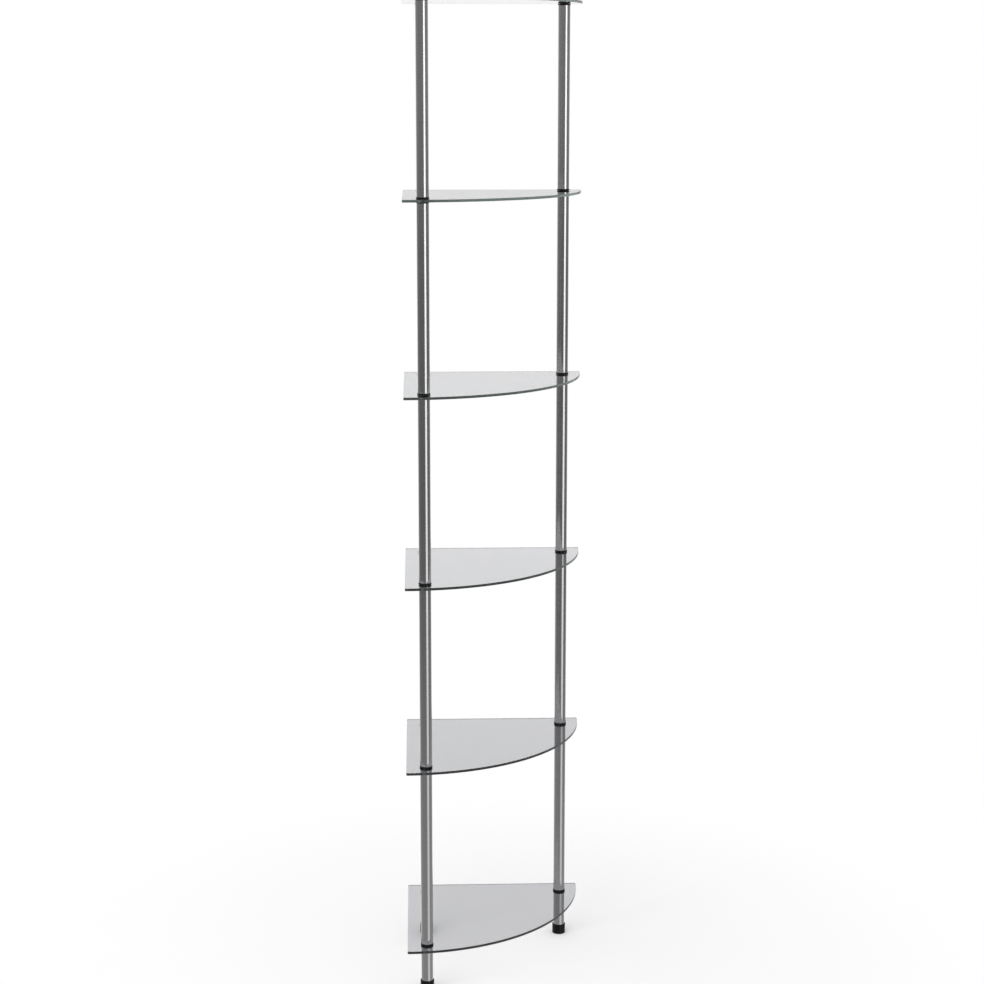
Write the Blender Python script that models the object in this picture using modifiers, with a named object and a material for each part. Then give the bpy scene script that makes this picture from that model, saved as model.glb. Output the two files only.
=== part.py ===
"""Corner shelf tower: quarter-round glass shelves clamped on three tubular steel columns.

Each column is a stack of tubes, black collars and glass, pulled together by one threaded tie rod
that runs from an insert in the foot to a cap on top. Metres, +Z up, origin on the floor under the
middle of the tower. The shelves' square corner points to -X and +Y.
"""

import math

import bpy

# Shelves
SHELF_COUNT = 6
SHELF_RADIUS = 0.360
GLASS_THICKNESS = 0.005
SHELF_PITCH = 0.371
FIRST_SHELF_TOP = 0.095
SHELF_CORNER_ROUND = 0.003

# Places of the columns: from the straight edge beside them, and from the shelf's tip
WALL_INSET = 0.039
TIP_INSET = 0.038

# Tubes and tie rods
TUBE_DIAMETER = 0.024
TUBE_WALL = 0.0012
ROD_DIAMETER = 0.008

# Collars: a flange on each face of the glass, a sleeve through it and a lip into each tube
COLLAR_OVERHANG = 0.0008
FLANGE_HEIGHT = 0.0025
SLEEVE_DIAMETER = 0.016
LIP_HEIGHT = 0.003

# Feet and the threaded inserts moulded into them
FOOT_WALL = 0.0016
FOOT_FLOOR = 0.004
CUP_DEPTH = 0.016
FOOT_CHAMFER = 0.001
INSERT_WALL = 0.002
INSERT_HEIGHT = 0.010
BOSS_WALL = 0.0014

# Top caps
CAP_HEIGHT = 0.013
CAP_ROUND = 0.003
CAP_CROWN = 0.003

# Clearance between pieces that touch or fit into each other
FIT_GAP = 0.0003

# Fineness of the round forms
TUBE_STEPS = 20
COLLAR_STEPS = 16
ARC_STEPS = 24
ROUND_STEPS = 4
SHARP_ANGLE = math.radians(40)
WELD = 0.00001

# Sizes that follow from those above
TUBE_RADIUS = TUBE_DIAMETER / 2
TUBE_BORE = TUBE_RADIUS - TUBE_WALL
ROD_RADIUS = ROD_DIAMETER / 2
ROD_BORE = ROD_RADIUS + FIT_GAP
COLLAR_RADIUS = TUBE_RADIUS + COLLAR_OVERHANG
LIP_RADIUS = TUBE_BORE - FIT_GAP
SLEEVE_RADIUS = SLEEVE_DIAMETER / 2
HOLE_RADIUS = SLEEVE_RADIUS + FIT_GAP
INSERT_RADIUS = ROD_BORE + INSERT_WALL
CUP_BORE = TUBE_RADIUS + FIT_GAP
FOOT_RADIUS = CUP_BORE + FOOT_WALL
FOOT_HEIGHT = FOOT_FLOOR + CUP_DEPTH
HALF_GLASS = GLASS_THICKNESS / 2
# From the middle of the glass to the outer face of a collar's flange
FLANGE_FACE = HALF_GLASS + FIT_GAP + FLANGE_HEIGHT


def start_scene():
    """Clears the scene and makes the collection that holds the tower, with an empty to carry it."""
    for old in list(bpy.data.objects):
        bpy.data.objects.remove(old)
    tower = bpy.data.collections.new("corner_shelf_tower")
    bpy.context.scene.collection.children.link(tower)
    carrier = bpy.data.objects.new("tower_origin", None)
    tower.objects.link(carrier)
    return tower, carrier


def finish_of(name, colour, roughness, metallic, transmission=0.0):
    """A material with one plain finish."""
    material = bpy.data.materials.new(name)
    material.use_nodes = True
    shader = material.node_tree.nodes["Principled BSDF"]
    shader.inputs["Base Color"].default_value = (*colour, 1.0)
    shader.inputs["Roughness"].default_value = roughness
    shader.inputs["Metallic"].default_value = metallic
    shader.inputs["Transmission Weight"].default_value = transmission
    return material


def evaluated_mesh(name, source):
    """The mesh that an object makes with its modifiers or its curve settings. The object is removed."""
    bpy.context.scene.collection.objects.link(source)
    graph = bpy.context.evaluated_depsgraph_get()
    mesh = bpy.data.meshes.new_from_object(source.evaluated_get(graph))
    mesh.name = name
    bpy.data.objects.remove(source)
    mesh.shade_smooth()
    mesh.set_sharp_from_angle(angle=SHARP_ANGLE)
    return mesh


def turned(name, profile, steps, finish, closed=True):
    """A mesh turned about Z from (radius, height) points that run down its outer side."""
    outline = bpy.data.meshes.new(name + "_profile")
    corners = [(radius, 0.0, height) for radius, height in profile]
    edges = [(i, i + 1) for i in range(len(corners) - 1)]
    if closed:
        edges.append((len(corners) - 1, 0))
    outline.from_pydata(corners, edges, [])
    blank = bpy.data.objects.new(name + "_blank", outline)
    turn = blank.modifiers.new("turn", "SCREW")
    turn.steps = steps
    turn.render_steps = steps
    turn.use_merge_vertices = True
    turn.merge_threshold = WELD
    mesh = evaluated_mesh(name, blank)
    mesh.materials.append(finish)
    return mesh


def arc(centre, radius, start, end, steps):
    """Points of an arc from one angle to another, both ends included."""
    angles = [start + (end - start) * i / steps for i in range(steps + 1)]
    return [(centre[0] + radius * math.cos(a), centre[1] + radius * math.sin(a)) for a in angles]


def shelf_outline():
    """A quarter disc with its square corner at the origin, in the quadrant of +X and -Y."""
    small = SHELF_CORNER_ROUND
    along = math.sqrt((SHELF_RADIUS - small) ** 2 - small ** 2)
    lean = math.atan2(small, along)
    quarter = math.pi / 2
    points = arc((small, -small), small, quarter, 2 * quarter, ROUND_STEPS)
    points += arc((small, -along), small, -2 * quarter, lean - quarter, ROUND_STEPS)
    points += arc((0.0, 0.0), SHELF_RADIUS, lean - quarter, -lean, ARC_STEPS)[1:-1]
    points += arc((along, -small), small, -lean, quarter, ROUND_STEPS)
    return points


def column_places():
    """Where each column stands, from the shelf's square corner."""
    far = SHELF_RADIUS - TIP_INSET
    return {
        "left": (WALL_INSET, -far),
        "right": (far, -WALL_INSET),
        "corner": (WALL_INSET, -WALL_INSET),
    }


def glass_mesh(finish):
    """A shelf's flat outline with a hole at each column, filled and given its thickness."""
    flat = bpy.data.curves.new("shelf_outline", "CURVE")
    flat.dimensions = "2D"
    flat.fill_mode = "BOTH"
    flat.extrude = HALF_GLASS
    rings = [shelf_outline()]
    for place in column_places().values():
        rings.append(arc(place, HOLE_RADIUS, 0.0, 2 * math.pi, COLLAR_STEPS)[:-1])
    for ring in rings:
        spline = flat.splines.new("POLY")
        spline.points.add(len(ring) - 1)
        for point, (x, y) in zip(spline.points, ring):
            point.co = (x, y, 0.0, 1.0)
        spline.use_cyclic_u = True
    mesh = evaluated_mesh("glass_shelf", bpy.data.objects.new("shelf_blank", flat))
    mesh.materials.append(finish)
    return mesh


def ring_profile(outer, inner, length):
    """The section of a plain tube or ring that stands on Z = 0."""
    return [(outer, length), (outer, 0.0), (inner, 0.0), (inner, length)]


def collar_profile():
    """A collar's section about the middle of the glass: lip, flange, sleeve, flange, lip."""
    outer = COLLAR_RADIUS
    face = FLANGE_FACE
    seat = HALF_GLASS + FIT_GAP
    upper = [
        (LIP_RADIUS, face + LIP_HEIGHT),
        (LIP_RADIUS, face),
        (outer, face),
        (outer, seat),
        (SLEEVE_RADIUS, seat),
    ]
    lower = [(radius, -height) for radius, height in reversed(upper)]
    bore = [(ROD_BORE, -face - LIP_HEIGHT), (ROD_BORE, face + LIP_HEIGHT)]
    return upper + lower + bore


def foot_profile():
    """A cup for the leg with a boss in the middle, whose pocket holds the threaded insert."""
    pocket = INSERT_RADIUS + FIT_GAP
    boss = pocket + BOSS_WALL
    boss_top = FOOT_FLOOR + FIT_GAP + INSERT_HEIGHT
    return [
        (0.0, FOOT_FLOOR),
        (pocket, FOOT_FLOOR),
        (pocket, boss_top),
        (boss, boss_top),
        (boss, FOOT_FLOOR),
        (CUP_BORE, FOOT_FLOOR),
        (CUP_BORE, FOOT_HEIGHT),
        (FOOT_RADIUS - FOOT_CHAMFER, FOOT_HEIGHT),
        (FOOT_RADIUS, FOOT_HEIGHT - FOOT_CHAMFER),
        (FOOT_RADIUS, FOOT_CHAMFER),
        (FOOT_RADIUS - FOOT_CHAMFER, 0.0),
        (0.0, 0.0),
    ]


def cap_profile():
    """A low cap with a rounded shoulder, open below for the collar's lip and the rod's end."""
    lip_room = LIP_HEIGHT + FIT_GAP
    shoulder_centre = (TUBE_RADIUS - CAP_ROUND, CAP_HEIGHT - CAP_ROUND)
    shoulder = arc(shoulder_centre, CAP_ROUND, math.pi / 2, 0.0, ROUND_STEPS)
    return [(0.0, CAP_HEIGHT)] + shoulder + [
        (TUBE_RADIUS, 0.0),
        (TUBE_BORE, 0.0),
        (TUBE_BORE, lip_room),
        (ROD_BORE, lip_room),
        (ROD_BORE, CAP_HEIGHT - CAP_CROWN),
        (0.0, CAP_HEIGHT - CAP_CROWN),
    ]


def build():
    tower, carrier = start_scene()
    glass = finish_of("toughened_glass", (0.80, 0.90, 0.87), 0.02, 0.0, 1.0)
    steel = finish_of("polished_stainless", (0.62, 0.62, 0.63), 0.18, 1.0)
    plastic = finish_of("black_moulded_plastic", (0.012, 0.012, 0.013), 0.30, 0.0)
    zinc = finish_of("zinc_plated_rod", (0.55, 0.56, 0.58), 0.35, 1.0)
    brass = finish_of("brass_insert", (0.66, 0.49, 0.22), 0.35, 1.0)

    def place(name, mesh, at):
        piece = bpy.data.objects.new(name, mesh)
        tower.objects.link(piece)
        piece.parent = carrier
        piece.location = at

    # Heights along a column
    tops = [FIRST_SHELF_TOP + SHELF_PITCH * level for level in range(SHELF_COUNT)]
    middles = [top - HALF_GLASS for top in tops]
    tube_length = SHELF_PITCH - 2 * FLANGE_FACE - 2 * FIT_GAP
    leg_bottom = FOOT_FLOOR + FIT_GAP
    leg_length = middles[0] - FLANGE_FACE - FIT_GAP - leg_bottom
    cap_bottom = middles[-1] + FLANGE_FACE + FIT_GAP
    rod_bottom = FOOT_FLOOR + FIT_GAP
    rod_length = cap_bottom + CAP_HEIGHT - CAP_CROWN - FIT_GAP - rod_bottom

    tube_section = ring_profile(TUBE_RADIUS, TUBE_BORE, tube_length)
    leg_section = ring_profile(TUBE_RADIUS, TUBE_BORE, leg_length)
    insert_section = ring_profile(INSERT_RADIUS, ROD_BORE, INSERT_HEIGHT)
    rod_section = [(0.0, rod_length), (ROD_RADIUS, rod_length), (ROD_RADIUS, 0.0), (0.0, 0.0)]
    shelf_mesh = glass_mesh(glass)
    collar_mesh = turned("collar", collar_profile(), COLLAR_STEPS, plastic)
    tube_mesh = turned("tube", tube_section, TUBE_STEPS, steel)
    leg_mesh = turned("leg_tube", leg_section, TUBE_STEPS, steel)
    foot_mesh = turned("foot", foot_profile(), TUBE_STEPS, plastic, closed=False)
    insert_mesh = turned("foot_insert", insert_section, COLLAR_STEPS, brass)
    cap_mesh = turned("top_cap", cap_profile(), TUBE_STEPS, steel, closed=False)
    rod_mesh = turned("tie_rod", rod_section, COLLAR_STEPS, zinc, closed=False)

    # The tower's middle is the middle of a shelf's square
    half = SHELF_RADIUS / 2
    for level, middle in enumerate(middles, start=1):
        place(f"glass_shelf_{level}", shelf_mesh, (-half, half, middle))
    for side, (along, across) in column_places().items():
        x = along - half
        y = across + half
        place(f"{side}_foot", foot_mesh, (x, y, 0.0))
        place(f"{side}_foot_insert", insert_mesh, (x, y, FOOT_FLOOR + FIT_GAP))
        place(f"{side}_leg_tube", leg_mesh, (x, y, leg_bottom))
        for level, middle in enumerate(middles, start=1):
            place(f"{side}_collar_{level}", collar_mesh, (x, y, middle))
        for level, middle in enumerate(middles[:-1], start=1):
            place(f"{side}_tube_{level}", tube_mesh, (x, y, middle + FLANGE_FACE + FIT_GAP))
        place(f"{side}_top_cap", cap_mesh, (x, y, cap_bottom))
        place(f"{side}_tie_rod", rod_mesh, (x, y, rod_bottom))


build()
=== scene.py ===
"""Looks of the glass corner shelf tower: fine glass, polished tubes and black mouldings over the frame."""

import math

import bpy
from mathutils import Matrix, Vector


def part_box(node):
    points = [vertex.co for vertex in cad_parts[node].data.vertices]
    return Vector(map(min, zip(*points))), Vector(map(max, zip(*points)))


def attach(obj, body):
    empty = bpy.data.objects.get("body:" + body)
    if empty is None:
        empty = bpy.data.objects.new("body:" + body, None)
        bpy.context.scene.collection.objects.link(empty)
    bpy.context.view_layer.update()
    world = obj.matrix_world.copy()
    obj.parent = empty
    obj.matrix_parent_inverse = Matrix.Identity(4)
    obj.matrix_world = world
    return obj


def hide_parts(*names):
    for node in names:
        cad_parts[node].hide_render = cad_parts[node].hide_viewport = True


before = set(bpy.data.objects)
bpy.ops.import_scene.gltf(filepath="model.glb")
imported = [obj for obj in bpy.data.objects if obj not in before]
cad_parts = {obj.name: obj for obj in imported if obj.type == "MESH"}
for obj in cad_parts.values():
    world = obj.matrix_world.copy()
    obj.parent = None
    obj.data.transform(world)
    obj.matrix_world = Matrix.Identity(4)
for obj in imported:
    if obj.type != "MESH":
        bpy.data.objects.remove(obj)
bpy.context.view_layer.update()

SIDES = ("left", "right", "corner")
SHELF_COUNT = 6

# Sizes of the pieces that the frame's boxes don't give, in metres
TUBE_WALL = 0.0012
TUBE_RIM_ROUND = 0.0004
ROD_BORE = 0.0043
FLANGE_HEIGHT = 0.0025
FLANGE_ROUND = 0.0006
SLEEVE_RADIUS = 0.0080
LIP_HEIGHT = 0.0030
FIT_GAP = 0.0003
FOOT_FLOOR = 0.0040
FOOT_ROUND = 0.0005
BOSS_RADIUS = 0.0080
BOSS_HEIGHT = 0.0103
POCKET_RADIUS = 0.0066
CAP_ROUND = 0.0030
CAP_BORE_TOP = 0.0100
SHELF_CORNER_ROUND = 0.0030
GLASS_ARRIS = 0.0009

# Fineness of the round forms
ROUND_SIDES = 72
SHELF_SIDES = 240
SHELF_CORNER_STEPS = 8
CAP_STEPS = 6
EDGE_STEPS = 3
RIM_STEPS = 2
SMOOTH_ANGLE = math.radians(35)
WELD = 0.000001

# Sizes of the patterns in the materials, in metres
GRIND_SPACING = 0.0012
GRIND_LENGTH = 0.040
GRIND_DEPTH = 0.0002
HAZE_SIZE = 0.060
WAVE_LENGTH = 0.090
WAVE_DEPTH = 0.0004
WIPE_SIZE = 0.025
GRAIN_SIZE = 0.0005
GRAIN_DEPTH = 0.0001
SCUFF_SIZE = 0.012
MARK_SPACING = 0.00125
MARK_LENGTH = 0.025

# The photograph's camera, fitted to the collars and the glass edges
CAMERA_PLACE = (-0.1520, -4.2147, 1.8093)
CAMERA_YAW = math.radians(1.984)
CAMERA_PITCH = math.radians(10.989)
IMAGE_WIDTH = 984
FOCAL_PIXELS = 2154.6
SENSOR_WIDTH = 36.0
VIEW_REACH = 200.0

# Floor: where it runs out into white, and its level in a mirror. World: its level as a light
FLOOR_SIZE = 60.0
FLOOR_FADE = (0.25, 1.1)
MIRRORED_FLOOR = 0.55
AMBIENT = 0.85

# Walls: heights and places in metres, with their levels
WALL_RADIUS = 30.0
WALL_HEIGHT = 40.0
WALL_SIDES = 96
EYE_HEIGHTS = (-0.6, 0.8)
EYE_LEVELS = (0.14, 0.235)
LOW_HEIGHTS = (-6.5, -12.0)
LOW_GAIN = 0.19
SIDE_PLACES = (-15.0, 8.0)
SIDE_GAIN = 0.07
BACKDROP_PLACES = (17.0, 22.0)
# The backdrop that the shelves mirror: its level falls between two rises per metre of way, by the third value
BACKDROP_FALLS = ((0.04, 0.09, 0.20), (0.229, 0.346, 0.545))
# The pale floor and ceiling that the tubes and caps mirror where they are seen from far above or below
STEEP_VIEW = (0.55, 1.3)
FLOOR_IN_TUBES = 0.42

# Softbox: height, and the directions of both sides to the right of the camera, in degrees
SOFTBOX_DISTANCE = 25.0
SOFTBOX_TOP = (4.2, 29.0, 56.0)
SOFTBOX_BOTTOM = (-13.7, 10.0, 55.0)
SOFTBOX_HEIGHTS = (-7.3, 4.2)
SOFTBOX_LEVELS = (0.82, 2.5)

# Overhead lamp, in metres and watts
LAMP_SIZE = 2.4
LAMP_POWER = 40.0
LAMP_PLACE = Vector((-1.6, -1.8, 3.6))
LAMP_AIM = Vector((0.0, 0.0, 0.4))


def linear(code):
    """A linear colour from an sRGB hex code."""
    shares = [int(code[i:i + 2], 16) / 255 for i in (1, 3, 5)]
    return (*(s / 12.92 if s <= 0.04045 else ((s + 0.055) / 1.055) ** 2.4 for s in shares), 1.0)


def add(tree, kind, inputs=None, **settings):
    """Adds a node with its settings. An input that is a socket is linked, any other value is set."""
    made = tree.nodes.new(kind)
    for name, value in settings.items():
        setattr(made, name, value)
    for name, value in (inputs or {}).items():
        if isinstance(value, bpy.types.NodeSocket):
            tree.links.new(value, made.inputs[name])
        else:
            made.inputs[name].default_value = value
    return made


def new_material(name):
    """An empty node material and its output."""
    material = bpy.data.materials.new(name)
    material.use_nodes = True
    tree = material.node_tree
    tree.nodes.clear()
    return material, tree, tree.nodes.new("ShaderNodeOutputMaterial")


def polished_stainless():
    """Stainless steel tube, ground and polished round its axis: fine rings blur a reflection up and down."""
    material, tree, output = new_material("polished_stainless_steel")
    place = add(tree, "ShaderNodeTexCoord").outputs["Object"]
    # Grinding rings are about 0.1 mm apart; they are drawn 1.2 mm apart so that they show
    rings = add(tree, "ShaderNodeMapping", {
        "Vector": place, "Scale": (1 / GRIND_LENGTH, 1 / GRIND_LENGTH, 1 / GRIND_SPACING)})
    grind = add(tree, "ShaderNodeTexNoise", {"Vector": rings.outputs["Vector"], "Scale": 1.0, "Detail": 3.0})
    # Soft cloudy patches from handling, about 60 mm across
    haze = add(tree, "ShaderNodeTexNoise", {"Vector": place, "Scale": 1 / HAZE_SIZE, "Detail": 2.0})
    both = add(tree, "ShaderNodeMath", {0: grind.outputs["Fac"], 1: haze.outputs["Fac"]}, operation="ADD")
    rough = add(tree, "ShaderNodeMapRange", {
        "Value": both.outputs["Value"], "From Min": 0.6, "From Max": 1.4, "To Min": 0.13, "To Max": 0.21})
    tone = add(tree, "ShaderNodeMix", {
        "Factor": grind.outputs["Fac"], "A": linear("#C4C4C5"), "B": linear("#D2D2D2")}, data_type="RGBA")
    bump = add(tree, "ShaderNodeBump", {
        "Height": grind.outputs["Fac"], "Strength": 0.05, "Distance": GRIND_DEPTH})
    shader = add(tree, "ShaderNodeBsdfPrincipled", {
        "Base Color": tone.outputs["Result"], "Metallic": 1.0, "Roughness": rough.outputs["Result"],
        "Normal": bump.outputs["Normal"]})
    tree.links.new(shader.outputs["BSDF"], output.inputs["Surface"])
    return material


def toughened_glass():
    """Clear toughened float glass with ground edges: grey on its faces and dark green through its length."""
    material, tree, output = new_material("toughened_float_glass")
    place = add(tree, "ShaderNodeTexCoord").outputs["Object"]
    # Toughening leaves faint waves about 90 mm long in the faces
    wave = add(tree, "ShaderNodeTexNoise", {"Vector": place, "Scale": 1 / WAVE_LENGTH, "Detail": 1.0})
    bump = add(tree, "ShaderNodeBump", {
        "Height": wave.outputs["Fac"], "Strength": 0.04, "Distance": WAVE_DEPTH})
    # Wiping marks about 25 mm across make the polish a little uneven
    wipe = add(tree, "ShaderNodeTexNoise", {"Vector": place, "Scale": 1 / WIPE_SIZE, "Detail": 3.0})
    face_rough = add(tree, "ShaderNodeMapRange", {
        "Value": wipe.outputs["Fac"], "From Min": 0.35, "From Max": 0.75, "To Min": 0.0, "To Max": 0.03})
    # The upright edge is finely ground: duller, darker and greener than the faces
    facing = add(tree, "ShaderNodeSeparateXYZ", {
        "Vector": add(tree, "ShaderNodeTexCoord").outputs["Normal"]})
    level = add(tree, "ShaderNodeMath", {0: facing.outputs["Z"]}, operation="ABSOLUTE")
    edge = add(tree, "ShaderNodeMapRange", {
        "Value": level.outputs["Value"], "From Min": 0.9, "From Max": 0.5}, interpolation_type="SMOOTHSTEP")
    rough = add(tree, "ShaderNodeMix", {
        "Factor": edge.outputs["Result"], "A": face_rough.outputs["Result"], "B": 0.45})
    tone = add(tree, "ShaderNodeMix", {
        "Factor": edge.outputs["Result"], "A": linear("#E4E4E7"), "B": linear("#B0BBB7")}, data_type="RGBA")
    shader = add(tree, "ShaderNodeBsdfPrincipled", {
        "Base Color": tone.outputs["Result"], "Roughness": rough.outputs["Result"], "IOR": 1.52,
        "Transmission Weight": 1.0, "Normal": bump.outputs["Normal"]})
    # Iron in the glass takes red first, which shows over the length of a shelf and not across its 5 mm
    body = add(tree, "ShaderNodeVolumeAbsorption", {"Color": linear("#C4D3CE"), "Density": 5.0})
    tree.links.new(shader.outputs["BSDF"], output.inputs["Surface"])
    tree.links.new(body.outputs["Volume"], output.inputs["Volume"])
    return material


def black_moulding():
    """Black polypropylene, injection moulded: a slight gloss over a fine even grain."""
    material, tree, output = new_material("black_moulded_polypropylene")
    place = add(tree, "ShaderNodeTexCoord").outputs["Object"]
    # Mould grain of about 0.25 mm, drawn at 0.5 mm so that it shows
    grain = add(tree, "ShaderNodeTexNoise", {"Vector": place, "Scale": 1 / GRAIN_SIZE, "Detail": 2.0})
    # Scuffs about 12 mm across make the gloss and the black a little uneven
    scuff = add(tree, "ShaderNodeTexNoise", {"Vector": place, "Scale": 1 / SCUFF_SIZE, "Detail": 3.0})
    rough = add(tree, "ShaderNodeMapRange", {
        "Value": scuff.outputs["Fac"], "From Min": 0.3, "From Max": 0.7, "To Min": 0.17, "To Max": 0.28})
    tone = add(tree, "ShaderNodeMix", {
        "Factor": scuff.outputs["Fac"], "A": linear("#0A0A0B"), "B": linear("#131315")}, data_type="RGBA")
    bump = add(tree, "ShaderNodeBump", {
        "Height": grain.outputs["Fac"], "Strength": 0.12, "Distance": GRAIN_DEPTH})
    shader = add(tree, "ShaderNodeBsdfPrincipled", {
        "Base Color": tone.outputs["Result"], "Roughness": rough.outputs["Result"], "IOR": 1.49,
        "Specular IOR Level": 0.25, "Normal": bump.outputs["Normal"]})
    tree.links.new(shader.outputs["BSDF"], output.inputs["Surface"])
    return material


def plated_metal(name, light, dark):
    """A plated or turned metal inside the columns: faint turning rings and an uneven dull shine."""
    material, tree, output = new_material(name)
    place = add(tree, "ShaderNodeTexCoord").outputs["Object"]
    # Thread and tool marks repeat each 1.25 mm along the axis
    rings = add(tree, "ShaderNodeMapping", {
        "Vector": place, "Scale": (1 / MARK_LENGTH, 1 / MARK_LENGTH, 1 / MARK_SPACING)})
    marks = add(tree, "ShaderNodeTexNoise", {"Vector": rings.outputs["Vector"], "Scale": 1.0, "Detail": 2.0})
    tone = add(tree, "ShaderNodeMix", {
        "Factor": marks.outputs["Fac"], "A": linear(dark), "B": linear(light)}, data_type="RGBA")
    rough = add(tree, "ShaderNodeMapRange", {
        "Value": marks.outputs["Fac"], "To Min": 0.28, "To Max": 0.45})
    shader = add(tree, "ShaderNodeBsdfPrincipled", {
        "Base Color": tone.outputs["Result"], "Metallic": 1.0, "Roughness": rough.outputs["Result"]})
    tree.links.new(shader.outputs["BSDF"], output.inputs["Surface"])
    return material


def start_piece(name, operator, **settings):
    """Adds a primitive with nothing else selected, puts its place in its mesh and enters edit mode."""
    bpy.ops.object.select_all(action="DESELECT")
    operator(**settings)
    piece = bpy.context.active_object
    piece.name = name
    bpy.ops.object.transform_apply(location=True, rotation=True, scale=True)
    bpy.ops.object.mode_set(mode="EDIT")
    bpy.ops.mesh.select_all(action="SELECT")
    return piece


def grow(height, next_height, radius, next_radius):
    """Extrudes the selected face up or down and brings it to its new radius."""
    share = next_radius / radius
    bpy.ops.mesh.extrude_region_move(TRANSFORM_OT_translate={"value": (0.0, 0.0, next_height - height)})
    bpy.ops.transform.resize(value=(share, share, 1.0), center_override=(0.0, 0.0, next_height))


def stacked(name, sections):
    """A round piece raised from a filled circle, one (radius, height) after another. Left in edit mode."""
    radius, height = sections[0]
    piece = start_piece(
        name, bpy.ops.mesh.primitive_circle_add, vertices=ROUND_SIDES, radius=radius,
        fill_type="NGON", location=(0.0, 0.0, height))
    for next_radius, next_height in sections[1:]:
        grow(height, next_height, radius, next_radius)
        radius = next_radius
        height = next_height
    return piece


def pick_faces(piece, wanted):
    """Selects the faces whose centre passes a test, in edit mode."""
    bpy.ops.mesh.select_mode(type="FACE")
    bpy.ops.mesh.select_all(action="DESELECT")
    bpy.ops.object.mode_set(mode="OBJECT")
    for face in piece.data.polygons:
        face.select = wanted(face.center)
    bpy.ops.object.mode_set(mode="EDIT")


def pick_ends(piece):
    """Selects the flat end faces of a round piece, in edit mode."""
    piece.update_from_editmode()
    heights = [v.co.z for v in piece.data.vertices]
    low = min(heights)
    high = max(heights)
    near = FIT_GAP / 10
    pick_faces(piece, lambda centre: (
        min(abs(centre.z - low), abs(centre.z - high)) < near and centre.xy.length < near))


def bore_through(piece, wall):
    """Insets both ends of a round piece by its wall and bridges them into a bore, in edit mode."""
    bpy.ops.mesh.select_all(action="SELECT")
    bpy.ops.mesh.normals_make_consistent(inside=False)
    pick_ends(piece)
    bpy.ops.mesh.inset(thickness=wall)
    bpy.ops.mesh.bridge_edge_loops()


def finish_shape(piece, round_width, round_steps=EDGE_STEPS):
    """Closes a piece's shape: normals outwards, rounded edges, smooth shading that keeps its corners."""
    bpy.ops.mesh.select_all(action="SELECT")
    bpy.ops.mesh.remove_doubles(threshold=WELD)
    bpy.ops.mesh.normals_make_consistent(inside=False)
    bpy.ops.object.mode_set(mode="OBJECT")
    bpy.ops.object.shade_smooth_by_angle(angle=SMOOTH_ANGLE)
    edges = piece.modifiers.new("edges", "BEVEL")
    edges.width = round_width
    edges.segments = round_steps
    edges.limit_method = "ANGLE"
    edges.angle_limit = SMOOTH_ANGLE
    # Flat faces stay flat to the eye and only the rounded edges turn
    edges.harden_normals = True
    bpy.ops.object.modifier_apply(modifier=edges.name)
    return piece


def tube_shape(name, radius, length):
    """A tube that stands on Z = 0, bored through, with its rims broken."""
    piece = stacked(name, [(radius, 0.0), (radius, length)])
    bore_through(piece, TUBE_WALL)
    return finish_shape(piece, TUBE_RIM_ROUND, RIM_STEPS)


def collar_shape(name, radius, lip_radius, glass):
    """A collar about the middle of the glass: lip, flange, sleeve, flange and lip, bored for the rod."""
    seat = glass / 2 + FIT_GAP
    face = seat + FLANGE_HEIGHT
    upper = [
        (SLEEVE_RADIUS, seat), (radius, seat), (radius, face), (lip_radius, face),
        (lip_radius, face + LIP_HEIGHT)]
    lower = [(r, -z) for r, z in reversed(upper)]
    piece = stacked(name, lower + upper)
    bore_through(piece, lip_radius - ROD_BORE)
    return finish_shape(piece, FLANGE_ROUND)


def foot_shape(name, radius, cup_radius, height):
    """A cup foot that stands on Z = 0, with the boss and pocket for the threaded insert inside."""
    boss_top = FOOT_FLOOR + BOSS_HEIGHT
    piece = stacked(name, [
        (radius, 0.0), (radius, height), (cup_radius, height), (cup_radius, FOOT_FLOOR),
        (BOSS_RADIUS, FOOT_FLOOR), (BOSS_RADIUS, boss_top), (POCKET_RADIUS, boss_top),
        (POCKET_RADIUS, FOOT_FLOOR)])
    return finish_shape(piece, FOOT_ROUND)


def cap_shape(name, radius, height):
    """A low turned cap that stands on Z = 0, hollow below for the collar's lip and the rod's end."""
    bore = radius - TUBE_WALL
    room = LIP_HEIGHT + FIT_GAP
    shoulder = []
    for step in range(CAP_STEPS + 1):
        angle = math.pi / 2 * step / CAP_STEPS
        inwards = CAP_ROUND * (1 - math.cos(angle))
        downwards = CAP_ROUND * (1 - math.sin(angle))
        shoulder.append((radius - inwards, height - downwards))
    hollow = [(ROD_BORE, CAP_BORE_TOP), (ROD_BORE, room), (bore, room), (bore, 0.0), (radius, 0.0)]
    piece = stacked(name, hollow + shoulder)
    return finish_shape(piece, TUBE_RIM_ROUND, RIM_STEPS)


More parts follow.
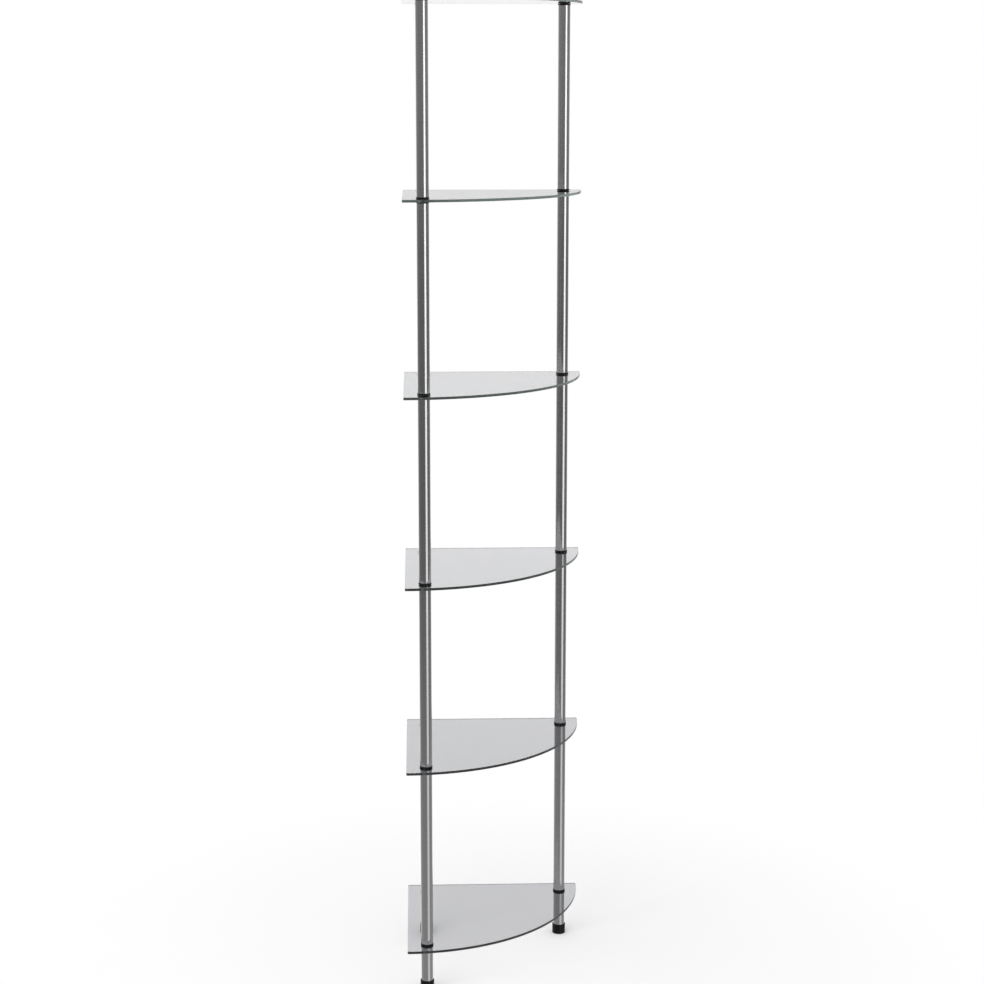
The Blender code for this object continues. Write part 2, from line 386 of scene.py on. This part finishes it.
def shelf_shape(name, corner, reach, glass, holes, hole_radius):
    """A quarter disc of glass about Z = 0, cut from a round plate: rounded corners, holes, ground edges."""
    piece = start_piece(
        name, bpy.ops.mesh.primitive_cylinder_add, vertices=SHELF_SIDES, radius=reach, depth=glass,
        location=(corner.x, corner.y, 0.0))
    bpy.ops.mesh.bisect(
        plane_co=(corner.x, 0.0, 0.0), plane_no=(1.0, 0.0, 0.0), clear_inner=True, use_fill=True)
    bpy.ops.mesh.select_all(action="SELECT")
    bpy.ops.mesh.bisect(
        plane_co=(0.0, corner.y, 0.0), plane_no=(0.0, 1.0, 0.0), clear_outer=True, use_fill=True)
    # The three upright edges where the straight sides end are ground to a small radius
    bpy.ops.mesh.select_mode(type="EDGE")
    bpy.ops.mesh.select_all(action="DESELECT")
    bpy.ops.object.mode_set(mode="OBJECT")
    tips = [corner, corner + Vector((reach, 0.0)), corner + Vector((0.0, -reach))]
    near = glass / 10
    for edge in piece.data.edges:
        ends = [piece.data.vertices[i].co for i in edge.vertices]
        upright = (ends[0].xy - ends[1].xy).length < near
        edge.select = upright and any((ends[0].xy - tip).length < near for tip in tips)
    bpy.ops.object.mode_set(mode="EDIT")
    bpy.ops.mesh.bevel(offset=SHELF_CORNER_ROUND, segments=SHELF_CORNER_STEPS, affect="EDGES")
    bpy.ops.object.mode_set(mode="OBJECT")
    for spot in holes:
        bpy.ops.object.select_all(action="DESELECT")
        bpy.ops.mesh.primitive_cylinder_add(
            vertices=ROUND_SIDES, radius=hole_radius, depth=4 * glass, location=(spot.x, spot.y, 0.0))
        drill = bpy.context.active_object
        bpy.context.view_layer.objects.active = piece
        cut = piece.modifiers.new("hole", "BOOLEAN")
        cut.object = drill
        bpy.ops.object.modifier_apply(modifier=cut.name)
        bpy.data.objects.remove(drill)
    piece.select_set(True)
    bpy.ops.object.mode_set(mode="EDIT")
    return finish_shape(piece, GLASS_ARRIS)


def put(pattern, node, height, material, at=None):
    """A copy of a pattern, with its own mesh, in a node's place. The pattern's Z = 0 goes to the height."""
    low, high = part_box(node)
    middle = (low + high) / 2 if at is None else Vector(at)
    mesh = pattern.data.copy()
    mesh.transform(Matrix.Translation((middle.x, middle.y, height)))
    mesh.materials.clear()
    mesh.materials.append(material)
    piece = bpy.data.objects.new("fine_" + node, mesh)
    bpy.context.scene.collection.objects.link(piece)
    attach(piece, "root")
    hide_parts(node)
    return piece


def half_width(node):
    """Half the width of a round node."""
    low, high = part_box(node)
    return (high.x - low.x) / 2


def dress_tower():
    """Models each kind of piece once and puts a copy of it in the place of every node of that kind."""
    steel = polished_stainless()
    glass = toughened_glass()
    black = black_moulding()
    zinc = plated_metal("zinc_plated_steel", "#BFC2C6", "#8E9298")
    brass = plated_metal("turned_brass", "#C9A35A", "#9C7A3C")

    tube_radius = half_width("left_tube_1")
    tube_low, tube_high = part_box("left_tube_1")
    leg_low, leg_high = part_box("left_leg_tube")
    foot_low, foot_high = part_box("left_foot")
    cap_low, cap_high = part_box("left_top_cap")
    shelf_low, shelf_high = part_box("glass_shelf_1")
    thickness = shelf_high.z - shelf_low.z
    corner = Vector((shelf_low.x, shelf_high.y))
    centres = []
    for side in SIDES:
        low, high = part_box(f"{side}_tube_1")
        centres.append(((low + high) / 2).xy)

    tube = tube_shape("tube_pattern", tube_radius, tube_high.z - tube_low.z)
    leg = tube_shape("leg_pattern", tube_radius, leg_high.z - leg_low.z)
    collar = collar_shape(
        "collar_pattern", half_width("left_collar_1"), tube_radius - TUBE_WALL - FIT_GAP, thickness)
    foot = foot_shape(
        "foot_pattern", half_width("left_foot"), tube_radius + FIT_GAP, foot_high.z - foot_low.z)
    cap = cap_shape("cap_pattern", half_width("left_top_cap"), cap_high.z - cap_low.z)
    shelf = shelf_shape(
        "shelf_pattern", corner, shelf_high.x - shelf_low.x, thickness, centres, SLEEVE_RADIUS + FIT_GAP)

    for level in range(1, SHELF_COUNT + 1):
        node = f"glass_shelf_{level}"
        low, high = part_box(node)
        pane = put(shelf, node, (low.z + high.z) / 2, glass, at=(0.0, 0.0, 0.0))
        # Light goes through clear glass, so a shelf throws no solid shadow
        pane.visible_shadow = False
        pane.visible_diffuse = False
    for side in SIDES:
        put(foot, f"{side}_foot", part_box(f"{side}_foot")[0].z, black)
        put(leg, f"{side}_leg_tube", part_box(f"{side}_leg_tube")[0].z, steel)
        put(cap, f"{side}_top_cap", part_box(f"{side}_top_cap")[0].z, steel)
        for level in range(1, SHELF_COUNT):
            node = f"{side}_tube_{level}"
            put(tube, node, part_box(node)[0].z, steel)
        for level in range(1, SHELF_COUNT + 1):
            node = f"{side}_collar_{level}"
            low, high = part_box(node)
            put(collar, node, (low.z + high.z) / 2, black)
        for node, material in ((f"{side}_tie_rod", zinc), (f"{side}_foot_insert", brass)):
            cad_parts[node].data.materials.clear()
            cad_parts[node].data.materials.append(material)
    for pattern in (tube, leg, collar, foot, cap, shelf):
        bpy.data.objects.remove(pattern)


def seen_and_mirrored(tree):
    """Two shares: what is seen straight, mirrored or through glass, and what is seen by way of a mirror."""
    path = add(tree, "ShaderNodeLightPath")
    first = add(tree, "ShaderNodeMath", {
        0: path.outputs["Is Camera Ray"], 1: path.outputs["Is Glossy Ray"]}, operation="MAXIMUM")
    seen = add(tree, "ShaderNodeMath", {
        0: first.outputs["Value"], 1: path.outputs["Is Transmission Ray"]}, operation="MAXIMUM")
    mirrored = add(tree, "ShaderNodeMath", {0: path.outputs["Glossy Depth"], 1: 1.0}, operation="MINIMUM")
    return seen.outputs["Value"], mirrored.outputs["Value"]


def backdrop_level(tree, slope):
    """The brightness of the backdrop in a mirror: white at the floor, and darker in two steps upwards."""
    level = 1.0
    for start, end, fall in BACKDROP_FALLS:
        drop = add(tree, "ShaderNodeMapRange", {
            "Value": slope, "From Min": start, "From Max": end, "To Min": 0.0, "To Max": fall})
        left = add(tree, "ShaderNodeMath", {0: level, 1: drop.outputs["Result"]}, operation="SUBTRACT")
        level = left.outputs["Value"]
    return level


def white_world():
    """An even soft light all round, with a white background."""
    world = bpy.data.worlds.new("white_studio")
    bpy.context.scene.world = world
    world.use_nodes = True
    tree = world.node_tree
    tree.nodes.clear()
    output = tree.nodes.new("ShaderNodeOutputWorld")
    seen, mirrored = seen_and_mirrored(tree)
    # Mirrored in the underside of a shelf, it darkens upwards as the backdrop does
    way = add(tree, "ShaderNodeSeparateXYZ", {
        "Vector": add(tree, "ShaderNodeTexCoord").outputs["Generated"]})
    dim = backdrop_level(tree, way.outputs["Z"])
    level = add(tree, "ShaderNodeMix", {"Factor": mirrored, "A": 1.0, "B": dim})
    light = add(tree, "ShaderNodeBackground", {"Color": linear("#FFFFFF"), "Strength": AMBIENT})
    white = add(tree, "ShaderNodeBackground", {
        "Color": linear("#FFFFFF"), "Strength": level.outputs["Result"]})
    both = add(tree, "ShaderNodeMixShader", {
        0: seen, 1: light.outputs["Background"], 2: white.outputs["Background"]})
    tree.links.new(both.outputs["Shader"], output.inputs["Surface"])


def pale_floor():
    """A pale floor that keeps the tower's shadow and runs out into the white background."""
    bpy.ops.object.select_all(action="DESELECT")
    bpy.ops.mesh.primitive_plane_add(size=FLOOR_SIZE, location=(0.0, 0.0, 0.0))
    floor = bpy.context.active_object
    floor.name = "studio_floor"
    material, tree, output = new_material("pale_studio_floor")
    place = add(tree, "ShaderNodeTexCoord").outputs["Object"]
    reach = add(tree, "ShaderNodeVectorMath", {0: place}, operation="LENGTH")
    far = add(tree, "ShaderNodeMapRange", {
        "Value": reach.outputs["Value"], "From Min": FLOOR_FADE[0], "From Max": FLOOR_FADE[1]},
        interpolation_type="SMOOTHSTEP")
    seen, mirrored = seen_and_mirrored(tree)
    level = add(tree, "ShaderNodeMix", {"Factor": mirrored, "A": 1.0, "B": MIRRORED_FLOOR})
    whole = add(tree, "ShaderNodeMath", {0: far.outputs["Result"], 1: mirrored}, operation="MAXIMUM")
    fade = add(tree, "ShaderNodeMath", {0: whole.outputs["Value"], 1: seen}, operation="MULTIPLY")
    paper = add(tree, "ShaderNodeBsdfDiffuse", {"Color": linear("#FAFAFA")})
    white = add(tree, "ShaderNodeEmission", {
        "Color": linear("#FFFFFF"), "Strength": level.outputs["Result"]})
    both = add(tree, "ShaderNodeMixShader", {
        0: fade.outputs["Value"], 1: paper.outputs["BSDF"], 2: white.outputs["Emission"]})
    tree.links.new(both.outputs["Shader"], output.inputs["Surface"])
    floor.data.materials.append(material)
    # The tubes mirror the walls and the softbox instead, which go on below it
    floor.visible_glossy = False


def mirror_only(card):
    """Marks a card of the studio that only shows in polished surfaces, outside the picture."""
    card.visible_camera = False
    card.visible_diffuse = False
    card.visible_transmission = False
    card.visible_shadow = False


def dim_walls():
    """The dim studio far round the tower, which the tubes mirror, with a pale backdrop for the shelves."""
    bpy.ops.object.select_all(action="DESELECT")
    bpy.ops.mesh.primitive_cylinder_add(
        vertices=WALL_SIDES, radius=WALL_RADIUS, depth=WALL_HEIGHT, location=(0.0, 0.0, 0.0))
    wall = bpy.context.active_object
    wall.name = "studio_walls"
    material, tree, output = new_material("dim_studio_walls")
    place = add(tree, "ShaderNodeTexCoord").outputs["Object"]
    parts = add(tree, "ShaderNodeSeparateXYZ", {"Vector": place})
    # In front: lighter at eye height and towards the floor, and lighter to the sides
    upper = add(tree, "ShaderNodeMapRange", {
        "Value": parts.outputs["Z"], "From Min": EYE_HEIGHTS[0], "From Max": EYE_HEIGHTS[1],
        "To Min": EYE_LEVELS[0], "To Max": EYE_LEVELS[1]})
    lower = add(tree, "ShaderNodeMapRange", {
        "Value": parts.outputs["Z"], "From Min": LOW_HEIGHTS[0], "From Max": LOW_HEIGHTS[1],
        "To Min": 0.0, "To Max": LOW_GAIN})
    side = add(tree, "ShaderNodeMapRange", {
        "Value": parts.outputs["Y"], "From Min": SIDE_PLACES[0], "From Max": SIDE_PLACES[1],
        "To Min": 0.0, "To Max": SIDE_GAIN})
    front = add(tree, "ShaderNodeMath", {
        0: upper.outputs["Result"], 1: lower.outputs["Result"]}, operation="ADD")
    middle = add(tree, "ShaderNodeMath", {
        0: front.outputs["Value"], 1: side.outputs["Result"]}, operation="ADD")
    # Steeply down and up, out of the photo's view: the pale floor and the lit ceiling
    flat = add(tree, "ShaderNodeVectorMath", {0: place, 1: (1.0, 1.0, 0.0)}, operation="MULTIPLY")
    out = add(tree, "ShaderNodeVectorMath", {0: flat.outputs["Vector"]}, operation="LENGTH")
    slope = add(tree, "ShaderNodeMath", {
        0: parts.outputs["Z"], 1: out.outputs["Value"]}, operation="DIVIDE")
    steep = add(tree, "ShaderNodeMath", {0: slope.outputs["Value"]}, operation="ABSOLUTE")
    ends = add(tree, "ShaderNodeMapRange", {
        "Value": steep.outputs["Value"], "From Min": STEEP_VIEW[0], "From Max": STEEP_VIEW[1],
        "To Min": 0.0, "To Max": FLOOR_IN_TUBES})
    round_about = add(tree, "ShaderNodeMath", {
        0: middle.outputs["Value"], 1: ends.outputs["Result"]}, operation="ADD")
    # Behind: a pale backdrop that darkens upwards
    rise = add(tree, "ShaderNodeMath", {0: parts.outputs["Z"], 1: WALL_RADIUS}, operation="DIVIDE")
    back = backdrop_level(tree, rise.outputs["Value"])
    behind = add(tree, "ShaderNodeMapRange", {
        "Value": parts.outputs["Y"], "From Min": BACKDROP_PLACES[0], "From Max": BACKDROP_PLACES[1]},
        interpolation_type="SMOOTHSTEP")
    level = add(tree, "ShaderNodeMix", {
        "Factor": behind.outputs["Result"], "A": round_about.outputs["Value"], "B": back})
    glow = add(tree, "ShaderNodeEmission", {"Color": linear("#FFFFFF"), "Strength": level.outputs["Result"]})
    tree.links.new(glow.outputs["Emission"], output.inputs["Surface"])
    wall.data.materials.append(material)
    mirror_only(wall)


def strip_softbox():
    """A tall softbox to the right of the camera, brighter and narrower upwards: the streak on each tube."""
    bpy.ops.object.select_all(action="DESELECT")
    bpy.ops.mesh.primitive_plane_add(size=2.0, location=(0.0, 0.0, 0.0))
    box = bpy.context.active_object
    box.name = "strip_softbox"
    for vertex in box.data.vertices:
        height, near_side, far_side = SOFTBOX_TOP if vertex.co.y > 0 else SOFTBOX_BOTTOM
        angle = math.radians(far_side if vertex.co.x > 0 else near_side)
        vertex.co = (SOFTBOX_DISTANCE * math.sin(angle), -SOFTBOX_DISTANCE * math.cos(angle), height)
    material, tree, output = new_material("softbox_cloth")
    place = add(tree, "ShaderNodeTexCoord").outputs["Object"]
    parts = add(tree, "ShaderNodeSeparateXYZ", {"Vector": place})
    level = add(tree, "ShaderNodeMapRange", {
        "Value": parts.outputs["Z"], "From Min": SOFTBOX_HEIGHTS[0], "From Max": SOFTBOX_HEIGHTS[1],
        "To Min": SOFTBOX_LEVELS[0], "To Max": SOFTBOX_LEVELS[1]})
    glow = add(tree, "ShaderNodeEmission", {"Color": linear("#FFFFFF"), "Strength": level.outputs["Result"]})
    tree.links.new(glow.outputs["Emission"], output.inputs["Surface"])
    box.data.materials.append(material)
    mirror_only(box)


def soft_lamp():
    """One large soft lamp above and to the left, which gives the floor its shadow."""
    lamp = bpy.data.lights.new("overhead_softbox", "AREA")
    lamp.shape = "SQUARE"
    lamp.size = LAMP_SIZE
    lamp.energy = LAMP_POWER
    holder = bpy.data.objects.new("overhead_softbox", lamp)
    bpy.context.scene.collection.objects.link(holder)
    holder.location = LAMP_PLACE
    holder.rotation_euler = (LAMP_AIM - LAMP_PLACE).to_track_quat("-Z", "Y").to_euler()
    holder.visible_glossy = False
    holder.visible_transmission = False


def photo_camera():
    """The photograph's view: from the front, a little above the fifth shelf, looking slightly down."""
    lens = bpy.data.cameras.new("photo_camera")
    lens.sensor_width = SENSOR_WIDTH
    lens.lens = FOCAL_PIXELS / IMAGE_WIDTH * SENSOR_WIDTH
    lens.clip_end = VIEW_REACH
    camera = bpy.data.objects.new("photo_camera", lens)
    bpy.context.scene.collection.objects.link(camera)
    camera.location = CAMERA_PLACE
    camera.rotation_euler = (math.pi / 2 - CAMERA_PITCH, 0.0, -CAMERA_YAW)
    bpy.context.scene.camera = camera


bpy.context.scene.view_settings.view_transform = "Standard"
dress_tower()
white_world()
pale_floor()
dim_walls()
strip_softbox()
soft_lamp()
photo_camera()
